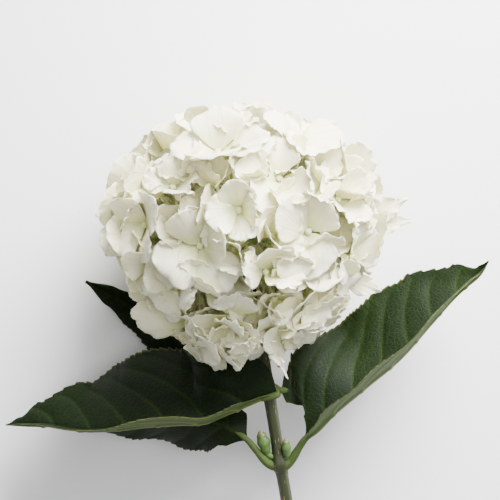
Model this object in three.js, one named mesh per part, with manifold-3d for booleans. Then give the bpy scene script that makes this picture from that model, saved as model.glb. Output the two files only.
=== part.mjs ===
// Cut mophead hydrangea, lying on a flat surface.
// Millimetres, +Z up, origin on the surface under the middle of the flower's box.
import * as THREE from "three";
import { mergeVertices } from "three/addons/utils/BufferGeometryUtils.js";
import Module from "manifold-3d";

const wasm = await Module();
wasm.setup();

// Flower head: across, along the stem, and from the surface to the uppermost floret.
const HEAD_WIDTH = 170;
const HEAD_LENGTH = 162;
const HEAD_DEPTH = 156;
const HEAD_TAPER = 0.27;
const HEAD_SETTLE = 5;
const SETTLE_REACH = 6;

// Florets: four sepals in a whorl, with a bead of closed stamens in the middle and a
// pedicel behind. They crowd the head, so their reach follows from the room that each has.
const FLORETS = 46;
const FLORET_FILL = 0.48;
const WHORL_CUP = 4.5;
const WHORL_THICKNESS = 1.3;
const WHORL_NOTCH = 0.5;
const WHORL_STEPS = 20;
const BEAD_RADIUS = 1.9;
const BEAD_HEIGHT = 2;
const PEDICEL_RADIUS = 1;
const STEM_CONE = 0.7;
const SPINS = 12;
const SPIN_ROUNDS = 4;

// Rays that fork from the top of the stem inside the head.
const RAYS = 6;
const RAY_REACH = 32;
const RAY_RADIUS = 1.7;
const RAY_KNOB = 4.2;
const FORK_BELOW_CENTRE = 24;

// Stem, measured down its own line from the middle of the head.
const STEM_END = 372;
const STEM_RADIUS = 3.5;
const STEM_LEAN = THREE.MathUtils.degToRad(10.2);
const STEM_BOW = 3;
const NODE_SPREAD = 5.5;
const CUT_BEVEL = 0.4;
const NODE_BELOW_HEAD = 53;
const NODE_RADIUS = 5.4;
const UPPER_NODE_BELOW_HEAD = 6;
const UPPER_NODE_RADIUS = 4.4;
const NODE_AT = HEAD_LENGTH / 2 + NODE_BELOW_HEAD;
const UPPER_NODE_AT = HEAD_LENGTH / 2 + UPPER_NODE_BELOW_HEAD;

// Leaves.
const BLADE_THICKNESS = 1;
const PETIOLE_RADIUS = 2;
const TOOTH = 1.6;
const STALK_RADIUS = 0.9;

const CLEARANCE = 0.3;
const HEAD_RADIUS = Math.min(HEAD_WIDTH, HEAD_LENGTH, HEAD_DEPTH) / 2;
const SPACING = Math.sqrt((4 * Math.PI * HEAD_RADIUS ** 2) / FLORETS);
const FLORET_REACH = FLORET_FILL * SPACING;
// Edges shorter than this are closed up after a join.
const FINEST = 0.04;
// Height in a floret's outline that stands for the foot of its pedicel.
const FOOT_MARK = -1;
const GOLDEN_ANGLE = Math.PI * (3 - Math.sqrt(5));
const UP = new THREE.Vector3(0, 0, 1);

const PETAL_FINISH = { color: "#eeeee0", roughness: 0.55, metalness: 0 };
const LEAF_FINISH = { color: "#2c4a2a", roughness: 0.5, metalness: 0 };
const STEM_FINISH = { color: "#6b7a45", roughness: 0.6, metalness: 0 };
const BUD_FINISH = { color: "#4f6a35", roughness: 0.6, metalness: 0 };

const vector = (x, y, z) => new THREE.Vector3(x, y, z);

// Closed geometry with shared vertices and faces that point out.
function closed(geometry) {
  const plain = new THREE.BufferGeometry();
  plain.setAttribute("position", geometry.attributes.position.clone());
  if (geometry.index) {
    plain.setIndex(geometry.index.clone());
  }
  const merged = mergeVertices(plain, FINEST);
  const position = merged.attributes.position;
  const corners = [vector(), vector(), vector()];
  const faces = [];
  let volume = 0;
  for (let i = 0; i < merged.index.count; i += 3) {
    const face = [0, 1, 2].map((k) => merged.index.getX(i + k));
    if (face[0] !== face[1] && face[1] !== face[2] && face[2] !== face[0]) {
      corners.forEach((corner, k) => corner.fromBufferAttribute(position, face[k]));
      volume += corners[0].dot(corners[1].clone().cross(corners[2]));
      faces.push(face);
    }
  }
  if (volume < 0) {
    faces.forEach((face) => face.reverse());
  }
  merged.setIndex(faces.flat());
  return merged;
}

function solid(geometry) {
  const whole = closed(geometry);
  return new wasm.Manifold(new wasm.Mesh({
    numProp: 3,
    vertProperties: new Float32Array(whole.attributes.position.array),
    triVerts: new Uint32Array(whole.index.array),
  }));
}

function joined(geometries) {
  const whole = geometries.map(solid).reduce((sum, next) => sum.add(next)).simplify(FINEST);
  const mesh = whole.getMesh();
  const geometry = new THREE.BufferGeometry();
  geometry.setAttribute("position", new THREE.BufferAttribute(new Float32Array(mesh.vertProperties), 3));
  geometry.setIndex(new THREE.BufferAttribute(new Uint32Array(mesh.triVerts), 1));
  return closed(geometry);
}

function named(name, geometry, finish) {
  const mesh = new THREE.Mesh(geometry, new THREE.MeshStandardMaterial(finish));
  mesh.name = name;
  return mesh;
}

// A value that passes smoothly through [place, value] pairs.
function eased(pairs) {
  return (place) => {
    const last = pairs.length - 1;
    const next = pairs.findIndex((pair) => pair[0] > place);
    if (next < 0) {
      return pairs[last][1];
    }
    const [low, high] = [pairs[Math.max(next - 1, 0)], pairs[next]];
    return THREE.MathUtils.lerp(low[1], high[1], THREE.MathUtils.smoothstep(place, low[0], high[0]));
  };
}

// A turned profile of [distance, radius] pairs, bent along a curve.
function bent(curve, profile, sides) {
  const length = curve.getLength();
  const ends = [profile[0][0], profile[profile.length - 1][0]];
  const outline = [new THREE.Vector2(0, ends[0])];
  profile.forEach(([distance, radius]) => outline.push(new THREE.Vector2(radius, distance)));
  outline.push(new THREE.Vector2(0, ends[1]));
  const geometry = new THREE.LatheGeometry(outline, sides);
  const position = geometry.attributes.position;
  const reference = Math.abs(curve.getTangentAt(0.5).x) > 0.8 ? vector(0, 0, 1) : vector(1, 0, 0);
  for (let i = 0; i < position.count; i += 1) {
    const place = THREE.MathUtils.clamp(position.getY(i) / length, 0, 1);
    const along = curve.getTangentAt(place);
    const side = reference.clone().cross(along).normalize();
    const other = along.clone().cross(side);
    const point = curve.getPointAt(place);
    point.addScaledVector(side, position.getX(i)).addScaledVector(other, position.getZ(i));
    position.setXYZ(i, point.x, point.y, point.z);
  }
  return geometry;
}

// --- Florets ---------------------------------------------------------------

// The place on the head's egg-shaped surface that lies in a direction, less a depth.
function headPoint(direction, depth) {
  const girth = (1 + HEAD_TAPER * direction.y) / (1 + HEAD_TAPER * 0.25);
  return vector(
    direction.x * girth * (HEAD_WIDTH / 2 - depth),
    direction.y * (HEAD_LENGTH / 2 - depth),
    direction.z * girth * (HEAD_DEPTH / 2 - depth),
  );
}

// One floret in its own frame: its whorl lies in the XY plane, cupped towards +Z, and its
// pedicel runs from the origin to the foot.
function floretShape(foot) {
  const cup = (share) => WHORL_CUP * share * share;
  const reach = FLORET_REACH;
  const outline = [
    new THREE.Vector2(0, WHORL_THICKNESS + BEAD_HEIGHT),
    new THREE.Vector2(BEAD_RADIUS, WHORL_THICKNESS),
    new THREE.Vector2(reach * 0.5, WHORL_THICKNESS + cup(0.5)),
    new THREE.Vector2(reach, WHORL_THICKNESS / 2 + cup(1)),
    new THREE.Vector2(reach * 0.5, cup(0.5)),
    new THREE.Vector2(PEDICEL_RADIUS, 0),
    new THREE.Vector2(PEDICEL_RADIUS, FOOT_MARK),
    new THREE.Vector2(0, FOOT_MARK),
  ];
  const geometry = new THREE.LatheGeometry(outline, WHORL_STEPS);
  const lean = new THREE.Quaternion().setFromUnitVectors(UP, foot.clone().negate().normalize());
  const position = geometry.attributes.position;
  for (let i = 0; i < position.count; i += 1) {
    const [x, height, z] = [position.getX(i), position.getY(i), position.getZ(i)];
    const lobe = Math.abs(Math.cos(2 * Math.atan2(z, x)));
    const share = Math.hypot(x, z) / reach;
    const narrow = 1 - (1 - WHORL_NOTCH) * (1 - lobe ** 0.6) * share;
    const point = height === FOOT_MARK
      ? vector(x, z, 0).applyQuaternion(lean).add(foot)
      : vector(x * narrow, z * narrow, height);
    position.setXYZ(i, point.x, point.y, point.z);
  }
  return geometry;
}

// Directions spread evenly over a sphere, without the cone where the stem enters.
function evenDirections(count, stemWay) {
  const wanted = [];
  let total = count;
  while (wanted.length < count) {
    wanted.length = 0;
    for (let i = 0; i < total; i += 1) {
      const y = 1 - (2 * (i + 0.5)) / total;
      const girth = Math.sqrt(1 - y * y);
      const angle = i * GOLDEN_ANGLE;
      const way = vector(girth * Math.cos(angle), y, girth * Math.sin(angle));
      if (way.dot(stemWay) < STEM_CONE && wanted.length < count) {
        wanted.push(way);
      }
    }
    total += 1;
  }
  return wanted;
}

function nearestTo(point, places) {
  return places.reduce((one, other) => (other.distanceTo(point) < one.distanceTo(point) ? other : one));
}

function facing(way, spin) {
  const turn = new THREE.Quaternion().setFromUnitVectors(UP, way);
  return turn.multiply(new THREE.Quaternion().setFromAxisAngle(UP, spin));
}

function tipsOf(point, way, spin) {
  return [0, 1, 2, 3].map((quarter) => {
    const angle = (quarter * Math.PI) / 2;
    const tip = vector(Math.cos(angle), Math.sin(angle), 0).multiplyScalar(FLORET_REACH);
    return tip.applyQuaternion(facing(way, spin)).add(point);
  });
}

// The spins that keep the tips of neighbouring whorls apart.
function easedSpins(points, ways) {
  const choices = Array.from({ length: SPINS }, (_, k) => (k * Math.PI) / 2 / SPINS);
  const tips = ways.map((way, i) => tipsOf(points[i], way, 0));
  const spins = ways.map(() => 0);
  for (let round = 0; round < SPIN_ROUNDS; round += 1) {
    ways.forEach((way, i) => {
      const others = tips.flatMap((own, k) => (k === i ? [] : own));
      const nearest = (tip) => Math.min(...others.map((other) => tip.distanceTo(other)));
      const room = (spin) => Math.min(...tipsOf(points[i], way, spin).map(nearest));
      spins[i] = choices.reduce((one, other) => (room(other) > room(one) ? other : one));
      tips[i] = tipsOf(points[i], way, spins[i]);
    });
  }
  return spins;
}

function stalk(from, to, radius) {
  const line = new THREE.LineCurve3(from, to);
  return bent(line, [[0, radius], [line.getLength(), radius]], 4);
}

// Presses what is lowest in the head onto the surface.
function settled(geometry) {
  const surface = HEAD_SETTLE - HEAD_DEPTH / 2;
  const position = geometry.attributes.position;
  for (let i = 0; i < position.count; i += 1) {
    const above = position.getZ(i) - surface;
    if (above < SETTLE_REACH) {
      position.setZ(i, surface + SETTLE_REACH * Math.exp(above / SETTLE_REACH - 1));
    }
  }
  return geometry;
}

function rayWays(stemWay) {
  const upWay = stemWay.clone().negate();
  const turn = new THREE.Quaternion().setFromUnitVectors(UP, upWay);
  const ways = [upWay];
  for (let i = 1; i < RAYS; i += 1) {
    const angle = (2 * Math.PI * i) / (RAYS - 1);
    ways.push(vector(Math.cos(angle), Math.sin(angle), 0.1).normalize().applyQuaternion(turn));
  }
  return ways;
}

function florets(stemWay, knobs) {
  const ways = evenDirections(FLORETS, stemWay);
  const tops = ways.map((way) => headPoint(way, WHORL_CUP));
  const spins = easedSpins(tops, ways);
  return ways.map((way, i) => {
    const knob = nearestTo(tops[i], knobs);
    const foot = knob.clone().lerp(tops[i], (RAY_KNOB + CLEARANCE) / knob.distanceTo(tops[i]));
    const turn = facing(way, spins[i]);
    const geometry = floretShape(foot.sub(tops[i]).applyQuaternion(turn.clone().invert()));
    geometry.applyQuaternion(turn);
    geometry.translate(tops[i].x, tops[i].y, tops[i].z);
    return named(`floret_${String(i + 1).padStart(2, "0")}`, closed(settled(geometry)), PETAL_FINISH);
  });
}

// --- Stem and rays ---------------------------------------------------------

function stemCurve(stemWay) {
  const side = stemWay.clone().cross(UP).normalize();
  const points = [];
  for (let step = 0; step <= 8; step += 1) {
    const share = step / 8;
    const distance = THREE.MathUtils.lerp(FORK_BELOW_CENTRE, STEM_END, share);
    const bow = STEM_BOW * Math.sin(Math.PI * share);
    points.push(stemWay.clone().multiplyScalar(distance).addScaledVector(side, bow));
  }
  return new THREE.CatmullRomCurve3(points);
}

function stem(curve) {
  const lower = NODE_AT - FORK_BELOW_CENTRE;
  const upper = UPPER_NODE_AT - FORK_BELOW_CENTRE;
  const length = curve.getLength();
  const round = [-12, -6, -3, 0, 3, 6, 12];
  const plain = [0.55, 0.7, 0.85].map((share) => share * length);
  const ringed = [upper, lower].flatMap((place) => round.map((step) => place + step));
  const places = [0, ...ringed, ...plain, length - 1];
  const swelling = (distance, place, extra) => extra * Math.exp(-(((distance - place) / NODE_SPREAD) ** 2));
  const radiusAt = (distance) => STEM_RADIUS
    + swelling(distance, lower, NODE_RADIUS - STEM_RADIUS)
    + swelling(distance, upper, UPPER_NODE_RADIUS - STEM_RADIUS);
  const profile = places.map((distance) => [distance, radiusAt(distance)]);
  profile.push([length, STEM_RADIUS - CUT_BEVEL]);
  return named("stem", closed(bent(curve, profile, 12)), STEM_FINISH);
}

function ray(index, from, knob) {
  const way = knob.clone().sub(from).normalize();
  const start = from.clone().addScaledVector(way, STEM_RADIUS + CLEARANCE);
  const ball = new THREE.SphereGeometry(RAY_KNOB, 7, 5);
  ball.translate(knob.x, knob.y, knob.z);
  return named(`ray_${index + 1}`, joined([stalk(start, knob, RAY_RADIUS), ball]), STEM_FINISH);
}

// --- Leaves ----------------------------------------------------------------

// A blade folded along its midrib. Folds are the angles of each half above the plane
// that lies along the midrib and level with the surface, and curl bends a half upwards.
function blade(midrib, leaf) {
  const along = leaf.rows;
  const geometry = new THREE.BoxGeometry(2, 1, 1, leaf.columns * 2, along, 1);
  const position = geometry.attributes.position;
  const place = (u, v) => {
    const half = v < 0 ? leaf.near : leaf.far;
    const tangent = midrib.getTangentAt(u);
    const across = tangent.clone().cross(UP).normalize().multiplyScalar(leaf.farSide);
    const raised = across.clone().cross(tangent).multiplyScalar(leaf.farSide);
    const fold = THREE.MathUtils.degToRad(half.fold(u));
    const share = Math.abs(v);
    const width = half.width(u) * share;
    const flat = across.multiplyScalar(v < 0 ? leaf.nearSide : 1);
    const outward = flat.clone().multiplyScalar(Math.cos(fold)).addScaledVector(raised, Math.sin(fold));
    const inward = flat.clone().multiplyScalar(-Math.sin(fold)).addScaledVector(raised, Math.cos(fold));
    const point = midrib.getPointAt(u).addScaledVector(outward, width);
    return point.addScaledVector(inward, half.curl * width * share);
  };
  for (let i = 0; i < position.count; i += 1) {
    const v = THREE.MathUtils.clamp(position.getX(i), -1, 1);
    const u = position.getY(i) + 0.5;
    const point = place(u, v);
    const nudge = 0.01;
    const inner = v * 0.98;
    const lengthways = place(Math.min(u + nudge, 1), inner).sub(place(Math.max(u - nudge, 0), inner));
    const sideways = place(u, Math.min(v + nudge, 1)).sub(place(u, Math.max(v - nudge, -1)));
    const normal = lengthways.clone().cross(sideways).normalize();
    if (Math.abs(v) > 0.999 && Math.round(u * along) % 2 === 1) {
      point.addScaledVector(sideways.normalize(), TOOTH * Math.sign(v));
      point.addScaledVector(lengthways.normalize(), TOOTH);
    }
    point.addScaledVector(normal, position.getZ(i) * BLADE_THICKNESS);
    position.setXYZ(i, point.x, point.y, point.z);
  }
  return geometry;
}

function leafOf(name, leaf, from) {
  const midrib = new THREE.CatmullRomCurve3(leaf.midrib);
  const start = leaf.midrib[0];
  const inside = midrib.getPointAt(0.06);
  const way = start.clone().sub(from).projectOnPlane(stemWay).normalize();
  const foot = from.clone().addScaledVector(way, leaf.footGap);
  const bend = foot.clone().addScaledVector(way, PETIOLE_RADIUS);
  const path = new THREE.CatmullRomCurve3([foot, bend, bend.clone().lerp(start, 0.55), start, inside]);
  const length = path.getLength();
  const taper = [[0, 1.25], [0.12, 1], [0.35, 0.95], [0.6, 0.9], [0.85, 0.9], [1, 0.3]];
  const profile = taper.map(([share, radius]) => [share * length, radius * PETIOLE_RADIUS]);
  const petiole = bent(path, profile, 8);
  return named(name, joined([petiole, blade(midrib, leaf)]), LEAF_FINISH);
}

// --- Buds ------------------------------------------------------------------

// A pointed bud on a short stalk in the axil of a leaf, beside the stem.
function budOf(name, from, way, rise, length, width) {
  const up = stemWay.clone().negate();
  const side = way.clone().projectOnPlane(stemWay).normalize();
  const beside = (height, radius) => from.clone()
    .addScaledVector(up, height)
    .addScaledVector(side, NODE_RADIUS + CLEARANCE + radius);
  const path = new THREE.LineCurve3(beside(rise, STALK_RADIUS), beside(rise + length, width));
  const bulge = [[0.4, 0.75 * width], [0.65, width], [0.85, 0.7 * width]];
  const shape = [[0, STALK_RADIUS], [0.25, STALK_RADIUS], ...bulge, [1, 0.4]];
  const profile = shape.map(([share, radius]) => [share * path.getLength(), radius]);
  return named(name, closed(bent(path, profile, 10)), BUD_FINISH);
}

// --- Assembly --------------------------------------------------------------

const level = vector(Math.sin(STEM_LEAN), -Math.cos(STEM_LEAN), 0);
const knobWays = rayWays(level);
const knobs = knobWays.map((way) => headPoint(way, 0).setLength(RAY_REACH));
const whorls = florets(level, knobs);

const surface = Math.min(...whorls.map((mesh) => {
  mesh.geometry.computeBoundingBox();
  return mesh.geometry.boundingBox.min.z;
}));
const slope = Math.asin((-surface - STEM_RADIUS) / STEM_END);
const stemWay = level.clone().multiplyScalar(Math.cos(slope)).setZ(-Math.sin(slope));
const line = stemCurve(stemWay);
const along = (distance) => line.getPointAt((distance - FORK_BELOW_CENTRE) / (STEM_END - FORK_BELOW_CENTRE));
const lowerNode = along(NODE_AT);
const upperNode = along(UPPER_NODE_AT);
const fork = along(FORK_BELOW_CENTRE);

const flower = new THREE.Group();
flower.add(stem(line));
knobs.forEach((knob, i) => flower.add(ray(i, fork, knob)));
flower.add(...whorls);

const lowerRight = {
  rows: 32,
  columns: 3,
  farSide: -1,
  nearSide: 1,
  footGap: NODE_RADIUS + CLEARANCE,
  midrib: [
    lowerNode.clone().add(vector(15, 15, 6)),
    lowerNode.clone().add(vector(22, 20, 8)),
    lowerNode.clone().add(vector(33, 31, 9)),
    lowerNode.clone().add(vector(53, 48, 9)),
    lowerNode.clone().add(vector(72, 64, 8)),
    lowerNode.clone().add(vector(92, 86, 5)),
    lowerNode.clone().add(vector(107, 102, 2)),
    lowerNode.clone().add(vector(120, 113, 2)),
    lowerNode.clone().add(vector(125, 121, 6)),
  ],
  far: {
    width: eased([
      [0, 1.6], [0.06, 12], [0.18, 43], [0.45, 46], [0.6, 43],
      [0.75, 33], [0.88, 15], [0.95, 4], [1, 0.8],
    ]),
    fold: eased([[0, -15], [0.15, -18], [0.4, -45], [0.8, -40], [1, -20]]),
    curl: 0.12,
  },
  near: {
    width: eased([
      [0, 1.6], [0.06, 12], [0.2, 32], [0.45, 37], [0.6, 34],
      [0.75, 26], [0.88, 13], [0.95, 4], [1, 0.8],
    ]),
    fold: eased([[0, 62], [0.3, 73], [0.7, 77], [1, 72]]),
    curl: 0.05,
  },
};

const lowerLeft = {
  rows: 28,
  columns: 3,
  farSide: 1,
  nearSide: -1,
  footGap: NODE_RADIUS + CLEARANCE,
  midrib: [
    lowerNode.clone().add(vector(-20, 14, 5)),
    lowerNode.clone().add(vector(-29, 20, 6)),
    lowerNode.clone().add(vector(-39, 24, 5)),
    lowerNode.clone().add(vector(-51, 26, 2)),
    lowerNode.clone().add(vector(-69, 25, -4)),
    lowerNode.clone().add(vector(-87, 23, -10)),
    lowerNode.clone().add(vector(-112, 21, -17)),
    lowerNode.clone().add(vector(-134, 21, -22)),
  ],
  far: {
    width: eased([[0, 1.6], [0.08, 14], [0.25, 30], [0.5, 30], [0.7, 22], [0.88, 10], [1, 0.8]]),
    fold: eased([[0, -20], [0.2, -38], [1, -40]]),
    curl: 0,
  },
  near: {
    width: eased([[0, 1.6], [0.08, 12], [0.25, 25], [0.45, 26], [0.65, 20], [0.85, 10], [1, 0.8]]),
    fold: eased([[0, -20], [0.3, -36], [0.6, -52], [1, -50]]),
    curl: 0,
  },
};

const upperLeft = {
  rows: 32,
  columns: 3,
  farSide: 1,
  nearSide: 1,
  footGap: UPPER_NODE_RADIUS + CLEARANCE,
  midrib: [
    upperNode.clone().add(vector(5, -3, 11)),
    upperNode.clone().add(vector(-4, -5, 12)),
    upperNode.clone().add(vector(-20, -12, 12.5)),
    upperNode.clone().add(vector(-37, -19, 13)),
    upperNode.clone().add(vector(-53, -20, 12)),
    upperNode.clone().add(vector(-73, -22, 7)),
    upperNode.clone().add(vector(-94, -25, 1)),
    upperNode.clone().add(vector(-113, -26, -6)),
    upperNode.clone().add(vector(-134, -24, -13)),
    upperNode.clone().add(vector(-160, -25, -19)),
  ],
  far: {
    width: eased([
      [0, 1.6], [0.03, 14], [0.09, 22], [0.17, 38], [0.3, 49], [0.45, 52],
      [0.63, 46], [0.77, 32], [0.89, 14], [0.95, 5], [1, 0.8],
    ]),
    fold: eased([[0, 12], [0.14, -2], [0.32, -28], [0.7, -32], [1, -20]]),
    curl: -0.12,
  },
  near: {
    width: eased([
      [0, 1.6], [0.08, 6], [0.16, 15], [0.3, 32], [0.48, 34], [0.62, 30],
      [0.76, 22], [0.88, 11], [0.95, 4], [1, 0.8],
    ]),
    fold: eased([[0, 62], [0.3, 74], [0.7, 80], [1, 74]]),
    curl: 0.05,
  },
};

const upperBack = {
  rows: 20,
  columns: 2,
  farSide: 1,
  nearSide: -1,
  footGap: UPPER_NODE_RADIUS + CLEARANCE,
  midrib: [
    vector(2, -86, surface + 30),
    vector(-14, -80, surface + 16),
    vector(-34, -65, surface + 9),
    vector(-64, -44, surface + 9),
    vector(-85, -31, surface + 13),
    vector(-101, -22, surface + 18),
  ],
  far: {
    width: eased([[0, 1.6], [0.08, 12], [0.25, 18], [0.5, 14], [0.7, 10], [0.85, 6], [1, 0.8]]),
    fold: eased([[0, -6], [1, 10]]),
    curl: 0,
  },
  near: {
    width: eased([[0, 1.6], [0.08, 14], [0.25, 21], [0.5, 17], [0.7, 12], [0.85, 7], [1, 0.8]]),
    fold: eased([[0, 10], [1, 12]]),
    curl: 0,
  },
};

const upperRight = {
  rows: 18,
  columns: 2,
  farSide: -1,
  nearSide: 1,
  footGap: UPPER_NODE_RADIUS + CLEARANCE,
  midrib: [
    upperNode.clone().add(vector(8, -2, -5)),
    upperNode.clone().add(vector(16, -1, -11)),
    upperNode.clone().add(vector(27, 3, -22)),
    upperNode.clone().add(vector(41, 9, -32)),
    upperNode.clone().add(vector(57, 20, -41)),
  ],
  far: {
    width: eased([[0, 1.6], [0.05, 10], [0.2, 15], [0.45, 18], [0.7, 14], [0.9, 5], [1, 0.8]]),
    fold: eased([[0, 0], [1, 0]]),
    curl: 0,
  },
  near: {
    width: eased([[0, 1.6], [0.05, 8], [0.2, 12], [0.45, 17], [0.7, 14], [0.9, 5], [1, 0.8]]),
    fold: eased([[0, 175], [1, 175]]),
    curl: 0,
  },
};

flower.add(leafOf("lower_right_leaf", lowerRight, lowerNode));
flower.add(leafOf("lower_left_leaf", lowerLeft, lowerNode));
flower.add(leafOf("upper_back_leaf", upperBack, upperNode));
flower.add(leafOf("upper_left_leaf", upperLeft, upperNode));
flower.add(leafOf("upper_right_leaf", upperRight, upperNode));
flower.add(budOf("left_bud", lowerNode, vector(-1, 0, 0.15), 7, 15, 3));
flower.add(budOf("right_bud", lowerNode, vector(1, 0, 0.9), 5, 11, 2.2));

// Stands the whole on the surface, with the middle of its box over the origin.
const group = new THREE.Group();
group.add(flower);
group.updateMatrixWorld(true);
const box = new THREE.Box3().setFromObject(flower, true);
const middle = box.getCenter(vector());
flower.position.set(-middle.x, -middle.y, -box.min.z);

export default group;
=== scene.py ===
"""Cut mophead hydrangea lying on a pale surface, seen from above.

Lengths are in millimetres until a mesh is built, which is in metres. The florets, leaves,
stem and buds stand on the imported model: its nodes give every anchor point used here.
"""
import math

import bpy
import numpy as np
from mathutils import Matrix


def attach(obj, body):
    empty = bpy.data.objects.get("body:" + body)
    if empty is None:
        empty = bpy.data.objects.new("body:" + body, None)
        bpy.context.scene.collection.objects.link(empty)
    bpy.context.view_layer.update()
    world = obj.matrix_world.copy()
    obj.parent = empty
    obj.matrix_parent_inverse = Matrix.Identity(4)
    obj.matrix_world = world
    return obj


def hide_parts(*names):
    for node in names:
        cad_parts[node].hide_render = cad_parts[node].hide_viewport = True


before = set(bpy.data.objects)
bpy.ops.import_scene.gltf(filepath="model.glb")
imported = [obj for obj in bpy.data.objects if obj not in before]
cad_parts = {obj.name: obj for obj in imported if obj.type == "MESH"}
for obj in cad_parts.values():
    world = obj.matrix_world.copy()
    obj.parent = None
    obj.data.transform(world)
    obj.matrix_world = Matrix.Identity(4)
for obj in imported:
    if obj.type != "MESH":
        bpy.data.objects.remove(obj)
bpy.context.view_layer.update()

MM = 0.001
SEED = 11
rng = np.random.default_rng(SEED)
UP = np.array([0.0, 0.0, 1.0])

# Flower head: an egg, wider away from the stem.
HEAD_HALF = np.array([85.0, 81.0, 78.0])
HEAD_TAPER = 0.27
LOWER_TAPER = 0.44
WIDEST_AT = 0.25
FORK_TO_CENTRE = 24.0
STEM_CONE = 0.72

# Florets.
SEPALS_EACH = 4
EXTRA_FLORETS = 106
OUTER_DEPTH = (11.0, 19.0)
INNER_DEPTH = (13.0, 28.0)
OUTER_LENGTH = (21.0, 28.0)
INNER_LENGTH = (17.0, 24.0)
OUTER_RISE = (14, 60)
INNER_RISE = (30, 72)
UPPER_PAIR_RISE = 9
FLORET_TILT = 38
TOOTHED_SHARE = 0.45
SEPAL_THICKNESS = 0.28
BEAD_RADIUS = 1.9
PEDICEL_RADIUS = 0.8

# Sepals that stand out of the head: the floret's number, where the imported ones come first, the
# quarter that the sepal has in it, the way it points, its length, width, cup and point.
STANDOUTS = (
    (43, 3, (-1.0, 0.12, 0.06), 34, 24, -0.30, 0.0),
    (45, 1, (0.45, -0.88, 0.0), 23, 6, 0.30, 0.30),
    (21, 2, (0.9, 0.42, 0.1), 21, 14, 0.12, 0.24),
    (21, 0, (1.0, 0.02, 0.1), 22, 13, 0.12, 0.24),
    (34, 1, (0.95, -0.3, 0.0), 22, 13, 0.10, 0.16),
    (74, 3, (0.15, 0.97, 0.08), 30, 25, 0.04, 0.04),
)
STANDOUT_LIMIT = 1.2

# Growth of the sepals against each other.
CONTROL = 7
FINE = 21
FIT_DEGREE = 4
GROWTH_STEPS = 70
START_SIZE = 0.3
STIFFNESS = 0.33
HOLD = 0.12
REACH = 3.5
PUSH = 0.42
FLOOR_GAP = 0.4

# Leaves and stem.
LEAF_THICKNESS = 0.42
STEM_SIDES = 40
BUD_PLUMP = 1.25

# Floor, light and camera, in metres and watts.
FLOOR_HALF = 12.0
SKY_STRENGTH = 0.5
LIGHT_TARGET = np.array([0.1, 0.12, 0.0])
LIGHT_SPREAD = 120
CAMERA_DISTANCE = 0.75
FRAME_WIDTH = 0.292
SENSOR = 36.0
VIEW_OFFSET = (0.0021, -0.0023)


# --- Small geometry helpers -------------------------------------------------

def unit(vectors):
    return vectors / np.maximum(np.linalg.norm(vectors, axis=-1, keepdims=True), 1e-12)


def smooth(value, low, high):
    share = np.clip((value - low) / (high - low), 0, 1)
    return share * share * (3 - 2 * share)


def eased(pairs):
    """A value that passes smoothly through (place, value) pairs."""
    places, values = np.array(pairs, float).T

    def value_at(place):
        place = np.clip(place, places[0], places[-1])
        k = np.clip(np.searchsorted(places, place, side="right") - 1, 0, len(places) - 2)
        return values[k] + (values[k + 1] - values[k]) * smooth(place, places[k], places[k + 1])

    return value_at


class Line:
    """A smooth line through points, measured by its length."""

    def __init__(self, points, samples=400):
        points = np.asarray(points, float)
        ends = [2 * points[0] - points[1]], [2 * points[-1] - points[-2]]
        knots = np.vstack([ends[0], points, ends[1]])
        t = np.linspace(0, len(points) - 1, samples)
        k = np.minimum(t.astype(int), len(points) - 2)
        f = (t - k)[:, None]
        a, b, c, d = knots[k], knots[k + 1], knots[k + 2], knots[k + 3]
        self.points = 0.5 * (
            2 * b + (c - a) * f + (2 * a - 5 * b + 4 * c - d) * f**2
            + (3 * b - a - 3 * c + d) * f**3
        )
        steps = np.linalg.norm(np.diff(self.points, axis=0), axis=1)
        self.places = np.concatenate([[0], np.cumsum(steps)])
        self.length = self.places[-1]
        self.ways = unit(np.gradient(self.points, axis=0))

    def _read(self, table, share):
        distance = np.asarray(share, float) * self.length
        return np.stack([np.interp(distance, self.places, table[:, k]) for k in range(3)], axis=-1)

    def at(self, share):
        return self._read(self.points, share)

    def way(self, share):
        return unit(self._read(self.ways, share))


class Shape:
    """Collects closed surfaces with per-point marks, then builds one mesh object."""

    def __init__(self):
        self.points, self.faces, self.marks, self.count = [], [], {}, 0

    def add(self, points, faces, **marks):
        points = np.asarray(points, float).reshape(-1, 3)
        self.points.append(points)
        self.faces.extend((np.asarray(faces) + self.count).tolist())
        for name, values in marks.items():
            values = np.broadcast_to(np.asarray(values, float), points.shape)
            self.marks.setdefault(name, []).append(values)
        self.count += len(points)

    def build(self, name, material):
        mesh = bpy.data.meshes.new(name)
        mesh.from_pydata((np.concatenate(self.points) * MM).tolist(), [], self.faces)
        mesh.polygons.foreach_set("use_smooth", [True] * len(mesh.polygons))
        for mark, values in self.marks.items():
            attribute = mesh.attributes.new(mark, "FLOAT_VECTOR", "POINT")
            attribute.data.foreach_set("vector", np.concatenate(values).ravel())
        mesh.materials.append(material)
        mesh.update()
        piece = bpy.data.objects.new(name, mesh)
        bpy.context.scene.collection.objects.link(piece)
        return piece


def sheet_faces(rows, columns):
    """Faces of a thin closed shell: a grid, the same grid underneath, and the rim between."""
    index = np.arange(rows * columns).reshape(rows, columns)
    corners = [index[:-1, :-1], index[:-1, 1:], index[1:, 1:], index[1:, :-1]]
    top = np.stack(corners, -1).reshape(-1, 4)
    under = top[:, ::-1] + rows * columns
    rim = np.concatenate([index[0, :], index[1:, -1], index[-1, -2::-1], index[-2:0:-1, 0]])
    following = np.roll(rim, -1)
    side = np.stack([following, rim, rim + rows * columns, following + rows * columns], -1)
    return np.concatenate([top, under, side])


def grid_normals(grid):
    """Unit normals of (..., rows, columns, 3) grids, with steady corners."""
    normals = unit(np.cross(np.gradient(grid, axis=-2), np.gradient(grid, axis=-3)))
    for row, inner_row in ((0, 1), (-1, -2)):
        for column, inner_column in ((0, 1), (-1, -2)):
            normals[..., row, column, :] = normals[..., inner_row, inner_column, :]
    return normals


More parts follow.
